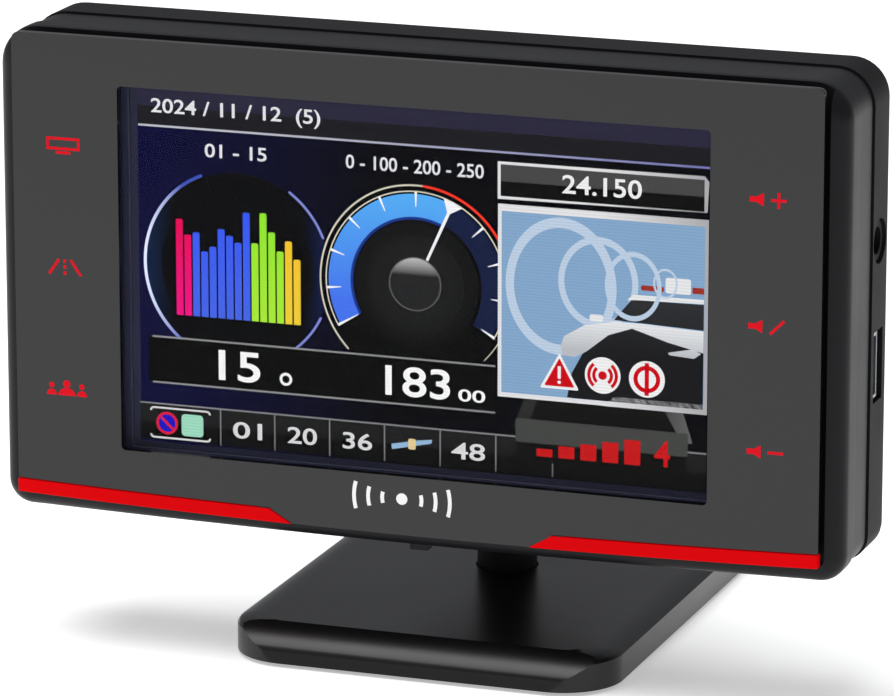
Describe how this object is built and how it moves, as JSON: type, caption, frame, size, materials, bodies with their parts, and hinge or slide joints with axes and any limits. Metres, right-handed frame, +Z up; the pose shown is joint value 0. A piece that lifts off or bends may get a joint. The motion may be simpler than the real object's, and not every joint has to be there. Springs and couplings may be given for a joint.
{
  "type": "radar detector",
  "caption": "Dashboard radar detector: wide flat display head with a smoked front panel and red accent strips, on a slide-on ball-joint stand with a low adhesive foot.",
  "frame": {"origin": "on the dashboard surface, under the middle of the whole object's box", "axes": "+X to the right as the driver sees the display, +Y away from the driver, +Z up"},
  "size_m": [0.113, 0.0682, 0.0812],
  "materials": {
    "satin_black_abs": "satin moulded black",
    "matte_black_abs": "fine textured matte black",
    "smoked_panel": "smoked dark grey, smooth",
    "clear_window": "clear gloss",
    "red_accent": "translucent gloss red",
    "screen": "dark gloss display",
    "diffuser": "white",
    "circuit_board": "green solder mask",
    "ceramic": "fired ceramic",
    "tinned_steel": "tinned",
    "steel": "zinc plated",
    "nylon": "natural nylon",
    "adhesive_gel": "black adhesive pad"
  },
  "bodies": {
    "stand": {"base_plate": "satin_black_abs", "adhesive_pad": "adhesive_gel", "ball_stem": "satin_black_abs", "stem_screw": "steel"},
    "pan_cup": {"upper_cup": "nylon"},
    "tilt_cup": {"lower_cup": "nylon"},
    "arm": {"socket_arm": "satin_black_abs"},
    "nut": {"clamp_nut": "matte_black_abs"},
    "head": {"front_panel": "smoked_panel", "display_window": "clear_window", "accent_strip_left": "red_accent", "accent_strip_right": "red_accent", "front_bezel": "satin_black_abs", "mid_frame": "satin_black_abs", "rear_cover": "matte_black_abs", "case_screw_1": "steel", "case_screw_2": "steel", "case_screw_3": "steel", "case_screw_4": "steel", "lcd_frame": "tinned_steel", "lcd_glass": "screen", "backlight_unit": "diffuser", "touch_board_left": "circuit_board", "touch_board_right": "circuit_board", "main_board": "circuit_board", "gps_antenna": "ceramic", "shield_can": "tinned_steel", "receiver_horn": "tinned_steel", "backup_cell": "steel", "speaker_frame": "steel", "speaker_cone": "matte_black_abs", "power_inlet": "matte_black_abs", "data_inlet": "tinned_steel", "card_socket": "tinned_steel"},
    "card": {"memory_card": "matte_black_abs"}
  },
  "joints": [
    {"name": "ball_pan", "type": "hinge", "parent": "stand", "child": "pan_cup", "pos_m": [0, 0.0044, 0.029], "axis": [0, 0, 1], "range_deg": [-30, 30]},
    {"name": "ball_tilt", "type": "hinge", "parent": "pan_cup", "child": "tilt_cup", "pos_m": [0, 0.0044, 0.029], "axis": [1, 0, 0], "range_deg": [-15, 12]},
    {"name": "ball_roll", "type": "hinge", "parent": "tilt_cup", "child": "arm", "pos_m": [0, 0.0044, 0.029], "axis": [0, 1, 0], "range_deg": [-6, 6]},
    {"name": "clamp_nut_turn", "type": "hinge", "parent": "arm", "child": "nut", "pos_m": [0, 0.0044, 0.029], "axis": [0, 0, 1], "range_deg": [0, 120]},
    {"name": "head_slide", "type": "slide", "parent": "arm", "child": "head", "axis": [0, 0, 1], "range_m": [0, 0.03]},
    {"name": "card_slide", "type": "slide", "parent": "head", "child": "card", "axis": [-1, 0, 0], "range_m": [0, 0.012]}
  ]
}
